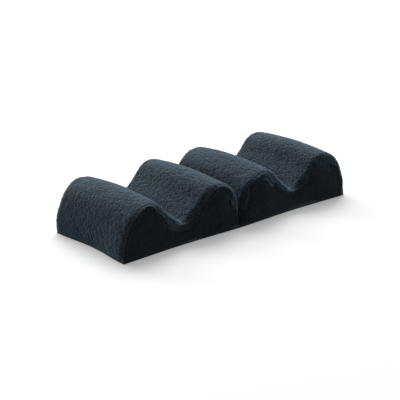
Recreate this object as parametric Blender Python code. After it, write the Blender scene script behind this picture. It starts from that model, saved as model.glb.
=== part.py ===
"""A contoured knee pillow, opened out: two filled halves stand end to end on one base panel,
and that panel is the fold between them.

Metres, +Z up. X runs along the pillow, the fold lies on X = 0, and the underside is Z = 0.
"""

from collections import namedtuple
from math import cos, pi, radians, sin

import bmesh
import bpy
import numpy as np

HALF_LENGTH = 0.250  # one half, from the fold to its outer foot
WIDTH = 0.180  # between the seams of the two side panels
PEAK = 0.094  # height of each crest
PANEL_THICKNESS = 0.002  # the base panel's cloth
CLEARANCE = 0.0003  # between a half and the base panel
FOOT = PANEL_THICKNESS + CLEARANCE  # where a half's underside lies
FOLD_GAP = 0.0006  # each half stops this far from the plane of the fold

CROWN = 0.0062  # a crest is this much lower at its side than at mid-width, before the corner
CORNER = 0.0095  # width of the wrap panel that rolls over to the seam
OUTER_DRAW = 0.0062  # the outer foot is pulled in this much between its corners
INNER_DRAW = 0.0015  # and the foot at the fold this much
SIDE_DRAW = 0.0033  # the side foot is pulled in this much between its corners
SIDE_LEAN = 0.0020  # the sides stand this much wider at the crests than at the feet

WELT = 0.0016  # how far the seam stands proud
WELT_GROOVE = 0.0030  # from the seam to the bottom of the groove beside it
GROOVE_DEPTH = 0.0007
BASE_LIP = 0.0008  # how far the base panel shows past the halves
SIDE_BULGE = 0.0030  # how far a side panel swells past its seam
SIDE_CORE = 0.70  # the side panel is at its fullest from here inwards

PROFILE_STEPS = 58
SIDE_FOOT_STEPS = 12
FLAT_SHARES = (0.0, 0.26, 0.5)
ROLL_ANGLES = (0, 20, 40, 60, 75)
SIDE_RINGS = (0.18, 0.42)

# A station is one knot of a half's outline seen from the side, at mid-width, with u measured
# inwards from the nearer end. The sewn seam runs this far inside the outline, and the right
# half's outer corner is stuffed more softly, so that its seam slips further in by "slip".
Station = namedtuple("Station", "name u z inset slip")

OUTER_END = (
    Station("foot", 0.0000, FOOT, 0.0015, 0.0000),
    Station("low wall", -0.0035, 0.016, 0.0045, 0.0040),
    Station("wall", -0.0022, 0.034, 0.0050, 0.0050),
    Station("high wall", 0.0046, 0.053, 0.0052, 0.0052),
    Station("shoulder", 0.0150, 0.073, 0.0054, 0.0065),
    Station("brow", 0.0302, 0.087, 0.0038, 0.0150),
    Station("crest", 0.0545, PEAK, 0.0040, 0.0165),
)
INNER_END = (
    Station("foot", 0.0008, FOOT, 0.0010, 0.0000),
    Station("low wall", 0.0032, 0.016, 0.0045, 0.0000),
    Station("wall", 0.0030, 0.034, 0.0095, 0.0000),
    Station("high wall", 0.0042, 0.053, 0.0160, 0.0000),
    Station("shoulder", 0.0128, 0.073, 0.0110, 0.0000),
    Station("brow", 0.0296, 0.087, 0.0052, 0.0000),
    Station("crest", 0.0590, PEAK, 0.0072, 0.0000),
)
TROUGH_SIDE = (
    Station("upper slope", 0.0752, 0.087, 0.0120, 0.0020),
    Station("slope", 0.0900, 0.071, 0.0120, 0.0000),
    Station("trough edge", 0.1120, 0.0503, 0.0105, 0.0000),
)
TROUGH = Station("trough", HALF_LENGTH / 2, 0.0408, 0.0040, 0.0000)

# The side panel is fullest along this line, given as u and height from end to end.
CORE_LINE = ((0.046, 0.038), (0.090, 0.027), (0.125, 0.020), (0.160, 0.027), (0.204, 0.038))

VELOUR = {"color": (0.030, 0.041, 0.050, 1.0), "roughness": 0.92}
BASE_CLOTH = {"color": (0.014, 0.018, 0.022, 1.0), "roughness": 0.90}


def spline(places, values, reads):
    """Natural cubic curve through values at the given places, read at other places."""
    steps = np.diff(places)
    slopes = np.diff(values, axis=0) / steps[:, None]
    count = len(places)
    system = np.eye(count)
    right = np.zeros_like(values)
    for k in range(1, count - 1):
        system[k, k - 1 : k + 2] = (steps[k - 1], 2 * (steps[k - 1] + steps[k]), steps[k])
        right[k] = 6 * (slopes[k] - slopes[k - 1])
    bends = np.linalg.solve(system, right)
    span = np.clip(np.searchsorted(places, reads) - 1, 0, count - 2)
    step = steps[span][:, None]
    after = (reads - places[span])[:, None]
    before = step - after
    ends = bends[span] * before**3 + bends[span + 1] * after**3
    start = (values[span] / step - bends[span] * step / 6) * before
    finish = (values[span + 1] / step - bends[span + 1] * step / 6) * after
    return ends / (6 * step) + start + finish


def outward(outline):
    """Unit normals of an outline in its own plane."""
    along = np.gradient(outline, axis=0)
    normals = np.stack([-along[:, 1], along[:, 0]], axis=1)
    return normals / np.linalg.norm(normals, axis=1)[:, None]


def side_outlines(steps, slip):
    """The body's and the seam's outline, from the foot at the fold over both crests to the outer foot."""
    knots = [(s.u, s.z, s.inset) for s in (*INNER_END, *TROUGH_SIDE, TROUGH)]
    for s in reversed((*OUTER_END, *TROUGH_SIDE)):
        knots.append((HALF_LENGTH - s.u, s.z, s.inset + slip * s.slip))
    knots = np.array(knots)
    along = np.concatenate([[0], np.cumsum(np.linalg.norm(np.diff(knots[:, :2], axis=0), axis=1))])
    reads = spline(along, knots, np.linspace(0, along[-1], steps + 1))
    body, inset = reads[:, :2], reads[:, 2:]
    seam = body - inset * outward(body)
    seam[[0, -1], 1] = FOOT
    return body, seam


def lowness(z):
    return np.clip(1 - z / PEAK, 0, 1)


def half_width(u, z):
    """Seam's distance from the middle, less where the foot is pulled in between its corners."""
    drawn = SIDE_DRAW * np.sin(pi * u / HALF_LENGTH) ** 2 * lowness(z)
    return WIDTH / 2 - drawn + SIDE_LEAN * (1 - lowness(z))


def wrap_row(body, seam, share, roll):
    """One line of the wrap panel, at a share of the half width and a share of its roll-over."""
    u, z = (body + (seam - body) * roll).T
    offset = (u - HALF_LENGTH / 2) / (HALF_LENGTH / 2)
    pull = np.where(offset > 0, OUTER_DRAW, INNER_DRAW) * cos(pi / 2 * share) ** 2
    y = share * half_width(u, z)
    z = z - CROWN * share**2 * z / PEAK
    u = u - np.sign(offset) * np.clip(abs(offset), 0, 1) ** 4 * pull * lowness(z)
    return np.stack([u, y, np.maximum(z, FOOT)], axis=1)


def welt_row(edge):
    """The line of the seam's top, which stands proud of both panels."""
    lean = np.insert(outward(edge[:, [0, 2]]), 1, 1.0, axis=1) / 2**0.5
    row = edge + WELT * lean
    row[:, 0] = np.maximum(row[:, 0], FOLD_GAP)
    row[:, 2] = np.maximum(row[:, 2], FOOT)
    row[[0, -1], 2] = FOOT
    return row


def wrap_rows(body, seam):
    """Lines of the wrap panel from mid-width to the seam."""
    rows = [wrap_row(body, seam, share, 0.0) for share in FLAT_SHARES]
    roll_width = CORNER / (WIDTH / 2)
    for angle in ROLL_ANGLES:
        share = 1 - roll_width + roll_width * sin(radians(angle))
        rows.append(wrap_row(body, seam, share, 1 - cos(radians(angle))))
    rows.append(welt_row(wrap_row(body, seam, 1.0, 1.0)))
    return rows


def side_foot(edge):
    """Points of the side panel's foot between its two corners, from the outer one to the fold."""
    start, finish = edge[-1, 0], edge[0, 0]
    u = np.linspace(start, finish, SIDE_FOOT_STEPS + 1)[1:-1]
    z = np.full_like(u, FOOT)
    y = edge[0, 1] - WIDTH / 2 + half_width(u, z)
    return np.stack([u, y, z], axis=1)


def core_points(loop):
    """The point of the core line that each point of the side panel's rim is drawn towards."""
    line = np.array(CORE_LINE)
    u = np.clip(loop[:, 0], line[0, 0], line[-1, 0])
    return np.stack([u, np.interp(u, line[:, 0], line[:, 1])], axis=1)


def side_rings(rim):
    """Rings of the side panel inside its rim: the groove beside the seam, then the swell."""
    flat = rim[:, [0, 2]]
    reach = core_points(rim) - flat
    distance = np.linalg.norm(reach, axis=1)
    seam_y = rim[:, 1] - WELT / 2**0.5
    rings = []
    for share in (None, *SIDE_RINGS, SIDE_CORE):
        if share is None:
            inside = flat + reach * (WELT_GROOVE / distance)[:, None]
            y = seam_y - GROOVE_DEPTH
        else:
            inside = flat + reach * share
            swell = 1 - (1 - share / SIDE_CORE) ** 2
            y = seam_y * (1 - swell) + (WIDTH / 2 + SIDE_BULGE) * swell
        rings.append(np.stack([inside[:, 0], y, inside[:, 1]], axis=1))
    return rings


def add_row(mesh, points, direction, side):
    return [mesh.verts.new((direction * u, side * y, z)) for u, y, z in points]


def bridge(mesh, first, second, closed=False):
    """Quads between two rows of as many points."""
    count = len(first)
    for k in range(count if closed else count - 1):
        after = (k + 1) % count
        mesh.faces.new((first[k], first[after], second[after], second[k]))


def finished_object(name, mesh, finish):
    """Puts a mesh in the scene with outward faces and a finish of its own."""
    bmesh.ops.recalc_face_normals(mesh, faces=mesh.faces)
    data = bpy.data.meshes.new(name)
    mesh.to_mesh(data)
    mesh.free()
    data.shade_smooth()
    data.set_sharp_from_angle(angle=radians(50))
    material = bpy.data.materials.new(name + " cloth")
    material.use_nodes = True
    shader = material.node_tree.nodes["Principled BSDF"]
    shader.inputs["Base Color"].default_value = finish["color"]
    shader.inputs["Roughness"].default_value = finish["roughness"]
    shader.inputs["Metallic"].default_value = 0.0
    data.materials.append(material)
    placed = bpy.data.objects.new(name, data)
    bpy.context.scene.collection.objects.link(placed)
    return placed


def make_half(name, direction, slip):
    """One filled half: a wrap panel over its ends and top, and a side panel on each side."""
    mesh = bmesh.new()
    rows = wrap_rows(*side_outlines(PROFILE_STEPS, slip))
    foot = side_foot(rows[-1])
    middle = add_row(mesh, rows[0], direction, 1)
    underside = {}
    for side in (1, -1):
        lines = [middle]
        for row in rows[1:]:
            lines.append(add_row(mesh, row, direction, side))
            bridge(mesh, lines[-2], lines[-1])
        foot_line = add_row(mesh, foot, direction, side)
        outer_feet = [line[-1] for line in lines[1:]]
        inner_feet = [line[0] for line in lines[1:]]
        underside[side] = [*outer_feet, *foot_line, *reversed(inner_feet)]
        loop = lines[-1] + foot_line
        for ring in side_rings(np.concatenate([rows[-1], foot])):
            inner_loop = add_row(mesh, ring, direction, side)
            bridge(mesh, loop, inner_loop, closed=True)
            loop = inner_loop
        mesh.faces.new(loop)
    mesh.faces.new([middle[-1], *underside[1], middle[0], *reversed(underside[-1])])
    return finished_object(name, mesh, VELOUR)


def base_outline():
    """The base panel's cut edge: the outer feet of both halves and the sides between them."""
    rows = wrap_rows(*side_outlines(PROFILE_STEPS, 0.0))
    quarter = [row[-1] for row in rows] + list(side_foot(rows[-1]))
    corner = rows[-1][0, 1]
    quarter.append(np.array((0.0, corner, FOOT)))
    u, y, _ = np.array(quarter).T
    x = u * (1 + BASE_LIP / HALF_LENGTH)
    y = y * (1 + BASE_LIP / (WIDTH / 2))
    turns = ((1, 1, 1), (-1, 1, -1), (-1, -1, 1), (1, -1, -1))
    outline = []
    for along, across, order in turns:
        points = list(zip(along * x, across * y))[::order]
        outline += points[:-1]
    return outline


def make_base_panel():
    """The cloth under both halves, which is also the fold between them."""
    mesh = bmesh.new()
    outline = base_outline()
    lower = [mesh.verts.new((x, y, 0.0)) for x, y in outline]
    upper = [mesh.verts.new((x, y, PANEL_THICKNESS)) for x, y in outline]
    bridge(mesh, lower, upper, closed=True)
    mesh.faces.new(lower)
    mesh.faces.new(upper)
    return finished_object("base_panel", mesh, BASE_CLOTH)


def clear_scene():
    for leftover in list(bpy.data.objects):
        bpy.data.objects.remove(leftover, do_unlink=True)


def main():
    clear_scene()
    make_half("pad_left", -1, 0.0)
    make_half("pad_right", 1, 1.0)
    make_base_panel()


if __name__ == "__main__":
    main()
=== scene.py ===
"""The looks of a contoured knee pillow: two velour halves, opened out on their base cloth.

It is laid out as an add-on and run as a script. Metres, +Z up, X along the pillow.
"""

from collections import namedtuple
from itertools import product
from math import pi, radians

import bpy  # noqa: E402
import numpy as np  # noqa: E402
from mathutils import Euler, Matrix, Vector, kdtree  # noqa: E402


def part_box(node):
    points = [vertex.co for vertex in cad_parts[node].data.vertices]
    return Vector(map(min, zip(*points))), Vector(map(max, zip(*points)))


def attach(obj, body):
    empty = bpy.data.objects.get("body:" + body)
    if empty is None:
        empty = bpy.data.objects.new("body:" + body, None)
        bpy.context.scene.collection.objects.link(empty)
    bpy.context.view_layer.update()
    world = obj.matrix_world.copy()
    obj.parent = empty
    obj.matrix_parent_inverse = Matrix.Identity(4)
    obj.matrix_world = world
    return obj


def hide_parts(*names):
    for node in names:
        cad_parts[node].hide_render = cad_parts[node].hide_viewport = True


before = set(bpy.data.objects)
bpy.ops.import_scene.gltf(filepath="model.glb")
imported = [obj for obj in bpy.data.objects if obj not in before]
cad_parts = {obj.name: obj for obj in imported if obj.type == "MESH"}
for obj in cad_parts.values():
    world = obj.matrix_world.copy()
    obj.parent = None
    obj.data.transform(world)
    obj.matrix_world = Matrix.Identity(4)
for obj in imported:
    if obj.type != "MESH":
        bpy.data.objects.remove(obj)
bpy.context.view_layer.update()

bl_info = {
    "name": "Knee pillow",
    "version": (1, 0, 0),
    "blender": (4, 5, 0),
    "location": "3D View > Sidebar > Knee pillow",
    "description": "Builds a folding contoured knee pillow in velour, on a plain studio floor",
    "category": "Object",
}

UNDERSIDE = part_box("pad_left")[0].z
PANEL_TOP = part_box("base_panel")[1].z
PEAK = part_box("pad_left")[1].z

# A station is one knot of a half's outline seen from the side, at mid-width, with u measured
# inwards from the nearer end. The sewn seam runs this far inside the outline, and the right
# half's outer corner is stuffed more softly, so that its seam slips further in by "slip".
HALF_LENGTH = 0.250
Station = namedtuple("Station", "name u z inset slip")

OUTER_END = (
    Station("foot", 0.0000, UNDERSIDE, 0.0015, 0.0000),
    Station("low wall", -0.0035, 0.016, 0.0045, 0.0040),
    Station("wall", -0.0022, 0.034, 0.0050, 0.0050),
    Station("high wall", 0.0046, 0.053, 0.0052, 0.0052),
    Station("shoulder", 0.0150, 0.073, 0.0054, 0.0065),
    Station("brow", 0.0302, 0.087, 0.0038, 0.0150),
    Station("crest", 0.0545, PEAK, 0.0040, 0.0165),
)
INNER_END = (
    Station("foot", 0.0008, UNDERSIDE, 0.0010, 0.0000),
    Station("low wall", 0.0032, 0.016, 0.0045, 0.0000),
    Station("wall", 0.0030, 0.034, 0.0095, 0.0000),
    Station("high wall", 0.0042, 0.053, 0.0160, 0.0000),
    Station("shoulder", 0.0128, 0.073, 0.0110, 0.0000),
    Station("brow", 0.0296, 0.087, 0.0052, 0.0000),
    Station("crest", 0.0590, PEAK, 0.0072, 0.0000),
)
TROUGH_SIDE = (
    Station("upper slope", 0.0752, 0.087, 0.0120, 0.0020),
    Station("slope", 0.0900, 0.071, 0.0120, 0.0000),
    Station("trough edge", 0.1120, 0.0503, 0.0105, 0.0000),
)
TROUGH = Station("trough", HALF_LENGTH / 2, 0.0408, 0.0040, 0.0000)


def length(name, default, about, low=0.0, high=2.0):
    return bpy.props.FloatProperty(
        name=name, description=about, default=default, min=low, max=high, unit="LENGTH", precision=5
    )


def colour(name, default, about):
    return bpy.props.FloatVectorProperty(
        name=name, description=about, default=default, subtype="COLOR", size=3, min=0.0, max=1.0
    )


def amount(name, default, about, low=0.0, high=1.0):
    return bpy.props.FloatProperty(
        name=name, description=about, default=default, min=low, max=high
    )


def power(name, default, about):
    return bpy.props.FloatProperty(name=name, description=about, default=default, min=0.0, unit="POWER")


class PillowForm(bpy.types.PropertyGroup):
    """Sizes of the filled halves and their sewing."""

    width: length("Width", 0.180, "Between the seams of the two side panels")
    crown: length("Crown", 0.0062, "How much lower a crest is at its side than at mid-width")
    corner: length("Corner roll", 0.0095, "Width of the wrap panel that rolls over to the seam")
    outer_draw: length("Outer draw", 0.0062, "How far the outer foot is pulled in")
    inner_draw: length("Inner draw", 0.0015, "How far the foot at the fold is pulled in")
    side_draw: length("Side draw", 0.0033, "How far the side foot is pulled in")
    side_lean: length("Side lean", 0.0020, "How much wider the sides stand at the crests")
    side_bulge: length("Side swell", 0.0030, "How far a side panel swells past its seam")
    fold_gap: length("Fold gap", 0.0007, "From the plane of the fold to each half")
    welt: length("Welt", 0.0015, "How far the seam stands proud")
    welt_width: length("Welt width", 0.0019, "Half width of the seam's rounded top")
    groove: length("Groove", 0.0011, "Depth of the groove beside the seam")
    pucker: length("Pucker", 0.00025, "Depth of the puckers along the seam")
    pucker_pitch: length("Pucker pitch", 0.0095, "From one pucker to the next")
    pile_relief: length("Pile relief", 0.00042, "Height of the pile's clumps")
    pile_grain: length("Pile grain", 0.0031, "Size of the pile's clumps")
    uneven: length("Unevenness", 0.0006, "Height of the filling's broad lumps")
    voxel: length("Cage", 0.0048, "Size of the faces that the cover settles with")
    lip: length("Lip", 0.0009, "How far the base cloth shows past the halves")
    pressure: amount("Pressure", 4.0, "Push of the filling on its cover", high=20.0)
    slack: amount("Slack", 0.022, "Share by which the cover is cut larger than the filling")
    swell_cap: length("Swell cap", 0.0045, "How far the settled cover may move")


class PillowFinish(bpy.types.PropertyGroup):
    """Colours of the cloths."""

    # Tips and roots are painted light and painted shade of the pile: tips lighter where light would
    # catch them, roots darker in the shaded gaps between clumps.
    tip: colour("Pile tips", (0.020, 0.029, 0.037), "Lit tips of the wrap panel's pile")
    root: colour("Pile roots", (0.004, 0.006, 0.0075), "Gaps between the pile's clumps")
    # Painted shade: the side colours are a darker copy of the wrap's, for side panels that face away
    # from the light.
    shaded_side_tip: colour("Side tips", (0.014, 0.018, 0.021), "Pile tips of the side panels")
    shaded_side_root: colour("Side roots", (0.006, 0.008, 0.009), "Pile roots of the side panels")
    base: colour("Base cloth", (0.010, 0.012, 0.014), "Woven cloth under both halves")
    sheen: colour("Sheen", (0.55, 0.785, 0.99), "Tint of the light caught by upright fibres")


class PillowStage(bpy.types.PropertyGroup):
    """Floor, lights and camera."""

    floor: colour("Floor", (0.88, 0.88, 0.88), "Plain floor")
    camera_place: bpy.props.FloatVectorProperty(
        name="Camera place",
        description="Where the camera stands",
        default=(-1.4029, -1.6071, 0.7919),
        subtype="TRANSLATION",
        unit="LENGTH",
    )
    camera_heading: bpy.props.FloatProperty(
        name="Heading",
        description="Turn of the camera from straight along +Y, towards +X",
        default=radians(40.849),
        subtype="ANGLE",
    )
    camera_dip: bpy.props.FloatProperty(
        name="Dip",
        description="How far the camera looks down",
        default=radians(19.784),
        subtype="ANGLE",
    )
    camera_lens: bpy.props.FloatProperty(
        name="Lens", description="Focal length", default=117.9, unit="CAMERA"
    )
    # The floor has two colours. Throw is what the pillow's light meets, darker than the floor looks, so
    # little bounce reaches the pillow's shaded sides. The glow is painted light that only the camera
    # sees, which lifts the pillow's cast shadow off the floor.
    throw: colour("Throw", (0.15, 0.15, 0.15), "Floor as the pillow meets its light")
    painted_floor_glow: colour("Glow", (0.22, 0.22, 0.22), "Light of the floor's own that the camera sees")
    key_power: power("Key power", 134.0, "Large soft light from behind right")
    rim_power: power("Rim power", 98.0, "Low soft light from straight behind")
    fill_power: power("Fill power", 22.0, "Weak soft light from behind left")
    sky: amount("Sky", 0.32, "Strength of the even surrounding light", high=5.0)


def spline(places, values, reads):
    """Natural cubic curve through values at the given places, read at other places."""
    steps = np.diff(places)
    slopes = np.diff(values, axis=0) / steps[:, None]
    count = len(places)
    system = np.eye(count)
    right = np.zeros_like(values)
    for k in range(1, count - 1):
        system[k, k - 1 : k + 2] = (steps[k - 1], 2 * (steps[k - 1] + steps[k]), steps[k])
        right[k] = 6 * (slopes[k] - slopes[k - 1])
    bends = np.linalg.solve(system, right)
    span = np.clip(np.searchsorted(places, reads) - 1, 0, count - 2)
    step = steps[span][:, None]
    after = (reads - places[span])[:, None]
    before = step - after
    ends = bends[span] * before**3 + bends[span + 1] * after**3
    start = (values[span] / step - bends[span] * step / 6) * before
    finish = (values[span + 1] / step - bends[span + 1] * step / 6) * after
    return ends / (6 * step) + start + finish


def outward(outline):
    """Unit normals of an outline in its own plane."""
    along = np.gradient(outline, axis=0)
    normals = np.stack([-along[:, 1], along[:, 0]], axis=1)
    return normals / np.linalg.norm(normals, axis=1)[:, None]


def side_outlines(steps, slip):
    """The body's and the seam's outline, from the foot at the fold to the outer foot."""
    knots = [(s.u, s.z, s.inset) for s in (*INNER_END, *TROUGH_SIDE, TROUGH)]
    for s in reversed((*OUTER_END, *TROUGH_SIDE)):
        knots.append((HALF_LENGTH - s.u, s.z, s.inset + slip * s.slip))
    knots = np.array(knots)
    steps_between = np.linalg.norm(np.diff(knots[:, :2], axis=0), axis=1)
    along = np.concatenate([[0], np.cumsum(steps_between)])
    reads = spline(along, knots, np.linspace(0, along[-1], steps + 1))
    body, inset = reads[:, :2], reads[:, 2:]
    seam = body - inset * outward(body)
    seam[[0, -1], 1] = UNDERSIDE
    return body, seam


def lowness(z):
    return np.clip(1 - z / PEAK, 0, 1)


def half_width(form, u, z):
    """Seam's distance from the middle, less where the foot is pulled in between its corners."""
    drawn = form.side_draw * np.sin(pi * u / HALF_LENGTH) ** 2 * lowness(z)
    return form.width / 2 - drawn + form.side_lean * (1 - lowness(z))


def wrap_row(form, body, seam, share, roll):
    """One line of the wrap panel, at a share of the half width and a share of its roll-over."""
    u, z = (body + (seam - body) * roll).T
    offset = (u - HALF_LENGTH / 2) / (HALF_LENGTH / 2)
    pull = np.where(offset > 0, form.outer_draw, form.inner_draw) * np.cos(pi / 2 * share) ** 2
    y = share * half_width(form, u, z)
    z = z - form.crown * share**2 * z / PEAK
    u = u - np.sign(offset) * np.clip(abs(offset), 0, 1) ** 4 * pull * lowness(z)
    return np.stack([u, y, np.maximum(z, UNDERSIDE)], axis=1)


def wrap_grid(form, body, seam, flat_rows, roll_rows):
    """Lines of the wrap panel from seam to seam, each from the foot at the fold to the outer foot."""
    roll_share = form.corner / (form.width / 2)
    turns = np.linspace(0, pi / 2, roll_rows + 1)
    flat_shares = np.linspace(0, 1 - roll_share, flat_rows + 1)[:-1]
    shares = np.concatenate([flat_shares, 1 - roll_share * (1 - np.sin(turns))])
    rolls = np.concatenate([np.zeros(flat_rows), 1 - np.cos(turns)])
    half = np.array([wrap_row(form, body, seam, s, r) for s, r in zip(shares, rolls)])
    return np.concatenate([half[:0:-1] * (1, -1, 1), half])


def side_grid(form, edge, rows):
    """A side panel as columns from the seam down to the foot, for the side at +Y."""
    steps = np.linalg.norm(np.diff(edge[:, [0, 2]], axis=0), axis=1)
    along = np.concatenate([[0], np.cumsum(steps)]) / steps.sum()
    foot_u = edge[0, 0] + (edge[-1, 0] - edge[0, 0]) * along
    foot_z = np.full_like(foot_u, UNDERSIDE)
    foot_y = edge[0, 1] - form.width / 2 + half_width(form, foot_u, foot_z)
    foot = np.stack([foot_u, foot_y, foot_z], axis=1)
    even = np.linspace(0, 1, rows + 1)
    shares = even - SIDE_EASE * np.sin(2 * pi * even) / (2 * pi)
    return edge + (foot - edge) * shares[:, None, None]


def grid_quads(start, rows, columns):
    """Quads of a grid whose points are numbered row by row."""
    corner = start + np.arange(rows - 1)[:, None] * columns + np.arange(columns - 1)
    quads = np.stack([corner, corner + 1, corner + columns + 1, corner + columns], axis=-1)
    return quads.reshape(-1, 4)


def half_surface(form, slip, detail):
    """One half as smooth points and faces, with each face's panel."""
    body, seam = side_outlines(detail.steps, slip)
    wrap = wrap_grid(form, body, seam, detail.flat_rows, detail.roll_rows)
    far = side_grid(form, wrap[-1], detail.side_rows)
    grids = [wrap, far[:, ::-1], far * (1, -1, 1)]
    points, quads, panels = [], [], []
    for panel, grid in enumerate(grids):
        quads.append(grid_quads(sum(map(len, points)), *grid.shape[:2]))
        points.append(grid.reshape(-1, 3))
        panels += [min(panel, 1)] * len(quads[-1])
    points, index = joined_points(np.concatenate(points))
    faces = [list(dict.fromkeys(quad)) for quad in index[np.concatenate(quads)].tolist()]
    kept = [k for k, face in enumerate(faces) if len(face) > 2]
    faces = [faces[k] for k in kept]
    panels = [panels[k] for k in kept]
    faces.append(open_rim(faces))
    panels.append(1)
    return points, faces, panels


def joined_points(points):
    """Points with those in one place joined, and where each old point went."""
    _, first, index = np.unique(
        np.round(points, 7), axis=0, return_index=True, return_inverse=True
    )
    return points[first], index.reshape(-1)


def open_rim(faces):
    """The first ring of edges that no face runs along the other way, as a face of its own."""
    ahead = {}
    for face in faces:
        for here, after in zip(face, face[1:] + face[:1]):
            ahead[after, here] = ahead.get((after, here), 0) + 1
    opened = {a: b for (a, b) in ahead if (b, a) not in ahead}
    ring = [next(iter(opened))]
    while opened[ring[-1]] != ring[0]:
        ring.append(opened[ring[-1]])
    return ring


def seam_lines(form, slip):
    """Fine points along both seams, and the way each point's welt leans out."""
    body, seam = side_outlines(SEAM_STEPS, slip)
    edge = wrap_row(form, body, seam, 1.0, 1.0)
    along = np.gradient(edge[:, [0, 2]], axis=0)
    out = np.stack([-along[:, 1], np.zeros(len(edge)), along[:, 0]], axis=1)
    out /= np.linalg.norm(out, axis=1)[:, None]
    turning = np.gradient(np.unwrap(np.arctan2(along[:, 1], along[:, 0])))
    step = np.linalg.norm(along, axis=1)
    lines = np.concatenate([edge, edge * (1, -1, 1)])
    leans = np.concatenate([out + (0, 1, 0), out + (0, -1, 0)]) / 2**0.5
    bends = np.tile(turning / step, 2)
    run = np.tile(np.cumsum(step), 2)
    return lines, leans, bends, run


def search_tree(places):
    tree = kdtree.KDTree(len(places))
    for k, place in enumerate(places):
        tree.insert(place, k)
    tree.balance()
    return tree


def nearest(points, line):
    """For each point, the number of the nearest point of a line and the distance to it."""
    tree = search_tree(line)
    found = [tree.find(place)[1:] for place in points]
    return np.array([k for k, _ in found]), np.array([gap for _, gap in found])


def soft_noise(points, size, seed):
    """Smooth random values from -1 to 1, with lumps about one size across."""
    table = np.random.default_rng(seed).uniform(-1, 1, 8191)
    cell = np.floor(points / size).astype(np.int64)
    part = points / size - cell
    part = part * part * (3 - 2 * part)
    total = np.zeros(len(points))
    for corner in product((0, 1), repeat=3):
        key = ((cell + corner) * HASH_STEPS).sum(axis=1) % len(table)
        total += table[key] * np.where(corner, part, 1 - part).prod(axis=1)
    return total


def mesh_of(name, points, faces):
    """A mesh from points and faces, without faces that are not valid."""
    mesh = bpy.data.meshes.new(name)
    mesh.from_pydata(points.tolist(), [], faces)
    mesh.validate()
    mesh.update()
    return mesh


def point_normals(mesh):
    normals = np.empty(len(mesh.vertices) * 3, np.float32)
    mesh.vertices.foreach_get("normal", normals)
    return normals.reshape(-1, 3).astype(float)


def point_places(mesh):
    places = np.empty(len(mesh.vertices) * 3, np.float32)
    mesh.vertices.foreach_get("co", places)
    return places.reshape(-1, 3).astype(float)


def faded(values, start, end):
    """0 before start, 1 after end, and a smooth rise between."""
    share = np.clip((values - start) / (end - start), 0, 1)
    return share * share * (3 - 2 * share)


def settled_cover(form, slip, seed):
    """Lets the cover settle over the filling, and gives the cage's points and how far each moved."""
    points, faces, _ = half_surface(form, slip, CAGE)
    mesh = mesh_of("cage", points, faces)
    cage = bpy.data.objects.new("cage", mesh)
    bpy.context.scene.collection.objects.link(cage)
    remesh = cage.modifiers.new("Even faces", "REMESH")
    remesh.mode = "VOXEL"
    remesh.voxel_size = form.voxel
    graph = bpy.context.evaluated_depsgraph_get()
    even = bpy.data.meshes.new_from_object(cage.evaluated_get(graph))
    cage.modifiers.clear()
    cage.data = even
    rest = point_places(even)
    normals = point_normals(even)
    lines = seam_lines(form, slip)[0]
    gap = nearest(rest, lines)[1]
    start = rest + normals * (soft_noise(rest, START_LUMP, seed) * START_HEIGHT)[:, None]
    even.vertices.foreach_set("co", start.ravel())
    held = cage.vertex_groups.new(name="sewn")
    for k in np.flatnonzero((gap < form.voxel * 0.9) | (rest[:, 2] < UNDERSIDE + SEWN_FOOT)):
        held.add([int(k)], 1.0, "REPLACE")
    cloth = cage.modifiers.new("Cover", "CLOTH")
    for setting, value in VELOUR_CLOTH.items():
        setattr(cloth.settings, setting, value)
    cloth.settings.use_pressure = True
    cloth.settings.uniform_pressure_force = form.pressure
    cloth.settings.shrink_min = -form.slack
    cloth.settings.vertex_group_mass = held.name
    cloth.settings.effector_weights.gravity = 0
    cloth.collision_settings.use_collision = False
    scene = bpy.context.scene
    for step in range(1, SETTLE_FRAMES + 1):
        scene.frame_set(step)
    graph = bpy.context.evaluated_depsgraph_get()
    moved = point_places(cage.evaluated_get(graph).data) - rest
    scene.frame_set(1)
    bpy.data.objects.remove(cage)
    reach = np.linalg.norm(moved, axis=1)
    limit = form.swell_cap * np.tanh(reach / form.swell_cap)
    return rest, moved * (limit / np.maximum(reach, 1e-9))[:, None]


def carried_over(points, rest, moved):
    """The cage's movement read at other points, as a soft average of its nearest points."""
    tree = search_tree(rest)
    offsets = np.empty_like(points)
    for k, place in enumerate(points):
        found = tree.find_n(place, CARRY_POINTS)
        gaps = np.array([gap for _, _, gap in found])
        weights = np.exp(-((gaps / CARRY_REACH) ** 2)) + 1e-9
        offsets[k] = weights @ moved[[n for _, n, _ in found]] / weights.sum()
    return offsets


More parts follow.
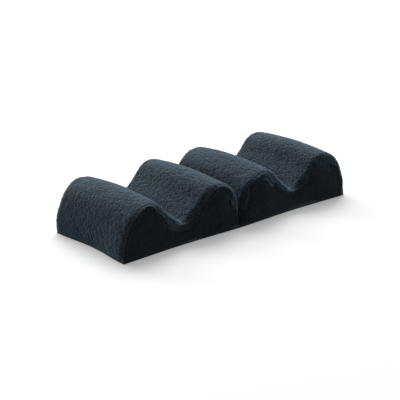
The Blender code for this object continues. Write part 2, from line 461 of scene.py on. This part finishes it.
def sculpted_half(form, slip, seed):
    """Points, faces, panels and clumps of pile of one half with its settled cover and seams."""
    points, faces, panels = half_surface(form, slip, FINE)
    lines, leans, bends, run = seam_lines(form, slip)
    at, gap = nearest(points, lines)
    mesh = mesh_of("smooth", points, faces)
    normals = point_normals(mesh)
    bpy.data.meshes.remove(mesh)
    height = points[:, 2] - UNDERSIDE
    lifted = faded(height, 0.0, FOOT_FADE)
    on_side = side_share(points, faces, panels)
    shape = points.copy()
    shape += carried_over(points, *settled_cover(form, slip, seed))
    swell = 1 - np.exp(-np.minimum(gap, height) / SWELL_REACH)
    shape[:, 1] += np.sign(points[:, 1]) * on_side * form.side_bulge * swell
    hollow = faded(-bends[at], *HOLLOW_BENDS)
    drift = 2.2 * soft_noise(points, PUCKER_DRIFT, seed + 3)
    wave = np.sin(2 * pi * run[at] / form.pucker_pitch + drift)
    pull = form.pucker * (0.45 + 0.9 * hollow) * np.exp(-gap / PUCKER_REACH) * wave
    uneven = form.uneven * soft_noise(points, UNEVEN_LUMP, seed + 5) * lifted
    welt = form.welt * np.exp(-((gap / form.welt_width) ** 2))
    trough = np.exp(-(((gap - 2.0 * form.welt_width) / (0.75 * form.welt_width)) ** 2))
    sunk = form.groove * trough * (0.35 + 0.65 * on_side)
    grain = pile_clumps(points, form.pile_grain, seed)
    pile = form.pile_relief * grain * (1 - 0.72 * on_side)
    shape += leans[at] * welt[:, None]
    shape += normals * ((pull + uneven + pile) * lifted - sunk * lifted)[:, None]
    shape[:, 0] = np.maximum(shape[:, 0], form.fold_gap)
    shape[:, 2] = np.where(height < 1e-6, UNDERSIDE, np.maximum(shape[:, 2], UNDERSIDE))
    return shape, faces, panels, grain


def side_share(points, faces, panels):
    """1 at points of the side panels, 0 at points of the wrap panel."""
    share = np.zeros(len(points))
    for face, panel in zip(faces[:-1], panels[:-1]):
        if panel:
            share[face] = 1.0
    return share


def pile_clumps(points, grain, seed):
    """Short leaning clumps of pile, from -1 in the gaps to 1 at the tips."""
    lean = points + 0.35 * grain * np.stack(
        [soft_noise(points, 3 * grain, seed + 20 + k) for k in range(3)], axis=1
    )
    streaks = soft_noise(lean * (1.0, 0.5, 1.0), 0.55 * grain, seed + 31)
    lumps = soft_noise(lean, 1.3 * grain, seed + 32)
    worms = 1 - 2.4 * np.abs(streaks)
    return np.clip(0.7 * worms + 0.5 * lumps, -1, 1)


Detail = namedtuple("Detail", "steps flat_rows roll_rows side_rows")
FINE = Detail(430, 50, 25, 30)
CAGE = Detail(110, 16, 8, 10)
SEAM_STEPS = 1800
SIDE_EASE = 0.72
HASH_STEPS = (73856093, 19349663, 83492791)
SETTLE_FRAMES = 20
CARRY_POINTS = 7
CARRY_REACH = 0.0045
SWELL_REACH = 0.014
PUCKER_REACH = 0.009
PUCKER_DRIFT = 0.03
HOLLOW_BENDS = (2.0, 14.0)
UNEVEN_LUMP = 0.035
FOOT_FADE = 0.010
SEWN_FOOT = 0.004
START_LUMP = 0.018
START_HEIGHT = 0.0006
VELOUR_CLOTH = {
    "quality": 6,
    "mass": 0.15,
    "tension_stiffness": 12,
    "compression_stiffness": 12,
    "shear_stiffness": 6,
    "bending_stiffness": 0.6,
}
PILE_BUMP = 0.0006
YARN_BUMP = 0.0003
SHEEN_ROUGHNESS = 0.45


def add_node(tree, kind, settings=(), **inputs):
    """A shader node with settings, and inputs given as values or as sockets to link from."""
    node = tree.nodes.new(kind)
    for name, value in dict(settings).items():
        setattr(node, name, value)
    for name, value in inputs.items():
        socket = node.inputs[name.replace("_", " ")]
        if isinstance(value, bpy.types.NodeSocket):
            tree.links.new(value, socket)
        else:
            socket.default_value = value
    return node


def calculated(tree, operation, first, second=0.0, third=0.0):
    """The output of a Math node fed with values or sockets."""
    node = tree.nodes.new("ShaderNodeMath")
    node.operation = operation
    for socket, value in zip(node.inputs, (first, second, third)):
        if isinstance(value, bpy.types.NodeSocket):
            tree.links.new(value, socket)
        else:
            socket.default_value = value
    return node.outputs[0]


def new_group(name, inputs, outputs):
    """An empty shader node group with float inputs and outputs, and its two end nodes."""
    group = bpy.data.node_groups.new(name, "ShaderNodeTree")
    for label, default in inputs:
        socket = group.interface.new_socket(label, in_out="INPUT", socket_type="NodeSocketFloat")
        socket.default_value = default
    for label in outputs:
        group.interface.new_socket(label, in_out="OUTPUT", socket_type="NodeSocketFloat")
    return group, group.nodes.new("NodeGroupInput"), group.nodes.new("NodeGroupOutput")


def pile_group():
    """Short leaning pile: painted light on each fibre tip and painted shade in the gaps between clumps,
    and its height for a bump.
    """
    inputs = (("Grain", 0.0024), ("Clumps", 0.0), ("Contrast", 1.0))
    group, given, made = new_group("Velour pile", inputs, ("Lit", "Height"))
    place = group.nodes.new("ShaderNodeTexCoord").outputs["Object"]
    scale = calculated(group, "DIVIDE", 1.0, given.outputs["Grain"])
    lean = add_node(group, "ShaderNodeMapping", Vector=place, Rotation=(0.2, 0.1, 0.5))
    lean.inputs["Scale"].default_value = (1.0, 0.55, 1.0)
    streak = add_node(
        group, "ShaderNodeTexNoise", Vector=lean.outputs[0], Scale=scale, Detail=2.0, Distortion=0.6
    )
    fold = calculated(group, "ABSOLUTE", calculated(group, "SUBTRACT", streak.outputs["Fac"], 0.5))
    worm = calculated(group, "SUBTRACT", 1.0, calculated(group, "MULTIPLY", fold, 6.0))
    fine_scale = calculated(group, "MULTIPLY", scale, 3.1)
    fibre = add_node(group, "ShaderNodeTexNoise", Vector=place, Scale=fine_scale, Detail=3.0)
    mixed = calculated(group, "MULTIPLY_ADD", worm, 0.55, given.outputs["Clumps"])
    mixed = calculated(group, "MULTIPLY_ADD", fibre.outputs["Fac"], 1.5, mixed)
    centred = calculated(group, "SUBTRACT", mixed, 1.0)
    lit = calculated(group, "MULTIPLY_ADD", centred, given.outputs["Contrast"], 0.5)
    clamped = add_node(group, "ShaderNodeClamp", Value=lit)
    group.links.new(clamped.outputs[0], made.inputs["Lit"])
    group.links.new(mixed, made.inputs["Height"])
    return group


def nap_group():
    """Broad lighter and darker patches where the pile has been stroked one way or the other."""
    group, given, made = new_group("Stroked nap", (("Patch", 0.05),), ("Stroke",))
    place = group.nodes.new("ShaderNodeTexCoord").outputs["Object"]
    scale = calculated(group, "DIVIDE", 1.0, given.outputs["Patch"])
    broad = add_node(
        group, "ShaderNodeTexNoise", Vector=place, Scale=scale, Detail=4.0, Distortion=1.2
    )
    curve = add_node(group, "ShaderNodeMapRange", Value=broad.outputs["Fac"])
    curve.inputs["From Min"].default_value = 0.32
    curve.inputs["From Max"].default_value = 0.68
    group.links.new(curve.outputs[0], made.inputs["Stroke"])
    return group


def weave_group():
    """Plain weave of crossing yarns."""
    inputs = (("Yarn", 0.0012),)
    group, given, made = new_group("Plain weave", inputs, ("Yarn light", "Height"))
    place = group.nodes.new("ShaderNodeTexCoord").outputs["Object"]
    scale = calculated(group, "DIVIDE", pi, given.outputs["Yarn"])
    split = add_node(group, "ShaderNodeSeparateXYZ", Vector=place)
    along = calculated(group, "SINE", calculated(group, "MULTIPLY", split.outputs["X"], scale))
    across = calculated(group, "SINE", calculated(group, "MULTIPLY", split.outputs["Y"], scale))
    over = calculated(group, "MULTIPLY", along, across)
    uneven = add_node(group, "ShaderNodeTexNoise", Vector=place, Scale=900.0, Detail=2.0)
    height = calculated(group, "MULTIPLY_ADD", uneven.outputs["Fac"], 0.6, over)
    light = calculated(group, "MULTIPLY_ADD", height, 0.35, 0.4)
    group.links.new(light, made.inputs["Yarn light"])
    group.links.new(height, made.inputs["Height"])
    return group


def group_node(tree, group, **inputs):
    """A node group placed in a material, with its inputs given as values or sockets."""
    node = add_node(tree, "ShaderNodeGroup", {"node_tree": group})
    for name, value in inputs.items():
        socket = node.inputs[name]
        if isinstance(value, bpy.types.NodeSocket):
            tree.links.new(value, socket)
        else:
            socket.default_value = value
    return node


def blank_material(name):
    material = bpy.data.materials.new(name)
    material.use_nodes = True
    return material, material.node_tree, material.node_tree.nodes["Principled BSDF"]


def mixed_colour(tree, share, first, second):
    """A colour between two, by a share that varies over the surface."""
    mix = tree.nodes.new("ShaderNodeMix")
    mix.data_type = "RGBA"
    tree.links.new(share, mix.inputs["Factor"])
    for socket, value in ((mix.inputs[6], first), (mix.inputs[7], second)):
        if isinstance(value, bpy.types.NodeSocket):
            tree.links.new(value, socket)
        else:
            socket.default_value = (*value, 1.0)
    return mix.outputs[2]


def velour(name, finish, tip, root, grain, sheen, bump):
    """Short-pile velour, with painted light on its fibre tips and painted shade in the gaps between
    clumps, and lighter in stroked patches.
    """
    material, tree, shader = blank_material(name)
    clumps = add_node(tree, "ShaderNodeAttribute", {"attribute_name": "pile"})
    pile_nodes = bpy.data.node_groups["Velour pile"]
    pile = group_node(tree, pile_nodes, Grain=grain, Clumps=clumps.outputs["Fac"])
    nap = group_node(tree, bpy.data.node_groups["Stroked nap"], Patch=0.05)
    # Painted light on the pile tips and painted shade in the gaps between clumps, following the clumps'
    # height.
    body = mixed_colour(tree, pile.outputs["Lit"], root, tip)
    stroked = calculated(tree, "MULTIPLY_ADD", nap.outputs["Stroke"], 0.5, 0.75)
    tinted = tree.nodes.new("ShaderNodeVectorMath")
    tinted.operation = "SCALE"
    tree.links.new(body, tinted.inputs[0])
    tree.links.new(stroked, tinted.inputs["Scale"])
    tree.links.new(tinted.outputs[0], shader.inputs["Base Color"])
    rough = calculated(tree, "MULTIPLY_ADD", pile.outputs["Lit"], -0.15, 0.98)
    tree.links.new(rough, shader.inputs["Roughness"])
    raised = add_node(
        tree, "ShaderNodeBump", Strength=bump, Distance=PILE_BUMP, Height=pile.outputs["Height"]
    )
    tree.links.new(raised.outputs[0], shader.inputs["Normal"])
    shader.inputs["Specular IOR Level"].default_value = 0.15
    shader.inputs["Sheen Weight"].default_value = sheen
    shader.inputs["Sheen Roughness"].default_value = SHEEN_ROUGHNESS
    shader.inputs["Sheen Tint"].default_value = (*finish.sheen, 1.0)
    return material


def base_weave(finish):
    """Plain dark woven cloth."""
    material, tree, shader = blank_material("Base cloth weave")
    weave = group_node(tree, bpy.data.node_groups["Plain weave"], Yarn=0.0011)
    nap = group_node(tree, bpy.data.node_groups["Stroked nap"], Patch=0.09)
    dark = tuple(0.45 * c for c in finish.base)
    body = mixed_colour(tree, weave.outputs["Yarn light"], dark, finish.base)
    tree.links.new(body, shader.inputs["Base Color"])
    rough = calculated(tree, "MULTIPLY_ADD", nap.outputs["Stroke"], 0.12, 0.8)
    tree.links.new(rough, shader.inputs["Roughness"])
    raised = add_node(
        tree, "ShaderNodeBump", Strength=0.6, Distance=YARN_BUMP, Height=weave.outputs["Height"]
    )
    tree.links.new(raised.outputs[0], shader.inputs["Normal"])
    shader.inputs["Sheen Weight"].default_value = 0.2
    return material


def placed_object(name, mesh):
    made = bpy.data.objects.new(name, mesh)
    bpy.context.scene.collection.objects.link(made)
    return made


class PILLOW_OT_halves(bpy.types.Operator):
    """Builds the two filled halves in velour"""

    bl_idname = "knee_pillow.halves"
    bl_label = "Filled halves"

    def execute(self, context):
        form = context.scene.pillow_form
        finish = context.scene.pillow_finish
        wrap = velour("Wrap velour", finish, finish.tip, finish.root, 0.0024, 0.65, 0.8)
        # A shaded copy of the wrap velour, darker and with less sheen: painted shade on the side
        # panels, which face away from the light.
        side = velour("Shaded side velour", finish, finish.shaded_side_tip, finish.shaded_side_root, 0.0020, 0.50, 0.4)
        for name, node, direction, slip, seed in HALVES:
            shape, faces, panels, grain = sculpted_half(form, slip, seed)
            shape[:, 0] *= direction
            if direction < 0:
                faces = [face[::-1] for face in faces]
            mesh = mesh_of(name, shape, faces)
            mesh.materials.append(wrap)
            mesh.materials.append(side)
            mesh.polygons.foreach_set("material_index", panels)
            mesh.shade_smooth()
            mesh.attributes.new("pile", "FLOAT", "POINT").data.foreach_set("value", grain)
            pad = placed_object(name, mesh)
            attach(pad, "root")
            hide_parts(node)
        return {"FINISHED"}


HALVES = (
    ("half_left", "pad_left", -1, 0.0, 11),
    ("half_right", "pad_right", 1, 1.0, 47),
)


class PILLOW_OT_base(bpy.types.Operator):
    """Builds the base cloth under both halves, whose middle is the fold"""

    bl_idname = "knee_pillow.base"
    bl_label = "Base cloth"

    def execute(self, context):
        form = context.scene.pillow_form
        finish = context.scene.pillow_finish
        shares_x = np.linspace(-1, 1, BASE_COLUMNS + 1)
        shares_y = np.linspace(-1, 1, BASE_ROWS + 1)
        across, along = np.meshgrid(shares_y, shares_x, indexing="ij")
        reach = HALF_LENGTH + form.lip - form.outer_draw * np.cos(pi / 2 * across) ** 2
        x = along * reach
        half = form.width / 2 + form.lip + form.welt * 0.7
        inwards = np.clip(abs(x), 0, HALF_LENGTH) / HALF_LENGTH
        y = across * (half - form.side_draw * np.sin(pi * inwards) ** 2)
        edge = np.minimum(1 - abs(along), 1 - abs(across))
        rim = np.clip(edge / ROUNDED_RIM, 0, 1)
        middle = PANEL_TOP / 2
        lift = middle * np.sqrt(1 - (1 - rim) ** 2)
        top = np.stack([x, y, middle + lift], axis=-1)
        under = np.stack([x, y, middle - lift], axis=-1)
        columns = BASE_COLUMNS + 1
        rows = BASE_ROWS + 1
        upper = grid_quads(0, rows, columns)
        lower = grid_quads(rows * columns, rows, columns)[:, ::-1]
        quads = np.concatenate([upper, lower])
        points, index = joined_points(np.concatenate([top.reshape(-1, 3), under.reshape(-1, 3)]))
        faces = [list(dict.fromkeys(quad)) for quad in index[quads].tolist()]
        mesh = mesh_of("base_cloth", points, [face for face in faces if len(face) > 2])
        mesh.materials.append(base_weave(finish))
        mesh.shade_smooth()
        cloth = placed_object("base_cloth", mesh)
        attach(cloth, "root")
        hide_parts("base_panel")
        return {"FINISHED"}


BASE_COLUMNS = 240
BASE_ROWS = 90
ROUNDED_RIM = 0.008


def soft_light(name, place, size, watts):
    """A square light that faces the pillow."""
    lamp = bpy.data.lights.new(name, "AREA")
    lamp.size = size
    lamp.energy = watts
    placed = placed_object(name, lamp)
    placed.location = place
    placed.rotation_euler = Vector(place).to_track_quat("Z", "Y").to_euler()


FLOOR_REACH = 30.0
LIGHT_SIZE = 2.9
KEY_PLACE = (2.05, 2.05, 3.45)
RIM_PLACE = (0.0, 4.08, 1.90)
FILL_PLACE = (-2.05, 2.05, 3.45)


class PILLOW_OT_stage(bpy.types.Operator):
    """Sets up the pale floor with its painted glow, the soft studio light and the camera"""

    bl_idname = "knee_pillow.stage"
    bl_label = "Studio"

    def execute(self, context):
        stage = context.scene.pillow_stage
        self.add_floor(stage)
        self.add_lights(stage)
        self.add_sky(stage)
        self.add_camera(stage)
        context.scene.view_settings.view_transform = "Standard"
        return {"FINISHED"}

    def add_floor(self, stage):
        material, tree, shader = blank_material("Plain floor")
        # Camera rays see the pale floor plus a painted glow that washes out the pillow's cast shadow;
        # all other rays meet the darker throw colour.
        seen = tree.nodes.new("ShaderNodeLightPath").outputs["Is Camera Ray"]
        tone = mixed_colour(tree, seen, stage.throw, stage.floor)
        tree.links.new(tone, shader.inputs["Base Color"])
        light = mixed_colour(tree, seen, (0, 0, 0), stage.painted_floor_glow)
        tree.links.new(light, shader.inputs["Emission Color"])
        shader.inputs["Emission Strength"].default_value = 1.0
        shader.inputs["Roughness"].default_value = 0.9
        shader.inputs["Specular IOR Level"].default_value = 0.1
        corners = np.array([(-1, -1, 0), (1, -1, 0), (1, 1, 0), (-1, 1, 0)]) * FLOOR_REACH
        mesh = mesh_of("floor", corners, [(0, 1, 2, 3)])
        mesh.materials.append(material)
        placed_object("floor", mesh)

    def add_lights(self, stage):
        soft_light("key", KEY_PLACE, LIGHT_SIZE, stage.key_power)
        soft_light("rim", RIM_PLACE, LIGHT_SIZE, stage.rim_power)
        soft_light("fill", FILL_PLACE, LIGHT_SIZE, stage.fill_power)

    def add_sky(self, stage):
        world = bpy.data.worlds.new("Studio air")
        world.use_nodes = True
        air = world.node_tree.nodes["Background"]
        air.inputs["Color"].default_value = (1, 1, 1, 1)
        air.inputs["Strength"].default_value = stage.sky
        bpy.context.scene.world = world

    def add_camera(self, stage):
        data = bpy.data.cameras.new("camera")
        data.lens = stage.camera_lens
        camera = placed_object("camera", data)
        camera.location = stage.camera_place
        camera.rotation_euler = Euler((pi / 2 - stage.camera_dip, 0, -stage.camera_heading))
        bpy.context.scene.camera = camera


class PILLOW_PT_panel(bpy.types.Panel):
    """Lists the pillow's sizes, colours and builders"""

    bl_label = "Knee pillow"
    bl_idname = "PILLOW_PT_panel"
    bl_space_type = "VIEW_3D"
    bl_region_type = "UI"
    bl_category = "Knee pillow"

    def draw(self, context):
        scene = context.scene
        for group in (scene.pillow_form, scene.pillow_finish, scene.pillow_stage):
            for name in group.__annotations__:
                self.layout.prop(group, name)
        for operator in BUILDERS:
            self.layout.operator(operator.bl_idname)


BUILDERS = (PILLOW_OT_stage, PILLOW_OT_base, PILLOW_OT_halves)
CLASSES = (PillowForm, PillowFinish, PillowStage, *BUILDERS, PILLOW_PT_panel)


def register():
    for kind in CLASSES:
        bpy.utils.register_class(kind)
    bpy.types.Scene.pillow_form = bpy.props.PointerProperty(type=PillowForm)
    bpy.types.Scene.pillow_finish = bpy.props.PointerProperty(type=PillowFinish)
    bpy.types.Scene.pillow_stage = bpy.props.PointerProperty(type=PillowStage)


def unregister():
    del bpy.types.Scene.pillow_stage
    del bpy.types.Scene.pillow_finish
    del bpy.types.Scene.pillow_form
    for kind in reversed(CLASSES):
        bpy.utils.unregister_class(kind)


def main():
    register()
    pile_group()
    nap_group()
    weave_group()
    bpy.ops.knee_pillow.stage()
    bpy.ops.knee_pillow.base()
    bpy.ops.knee_pillow.halves()


if __name__ == "__main__":
    main()
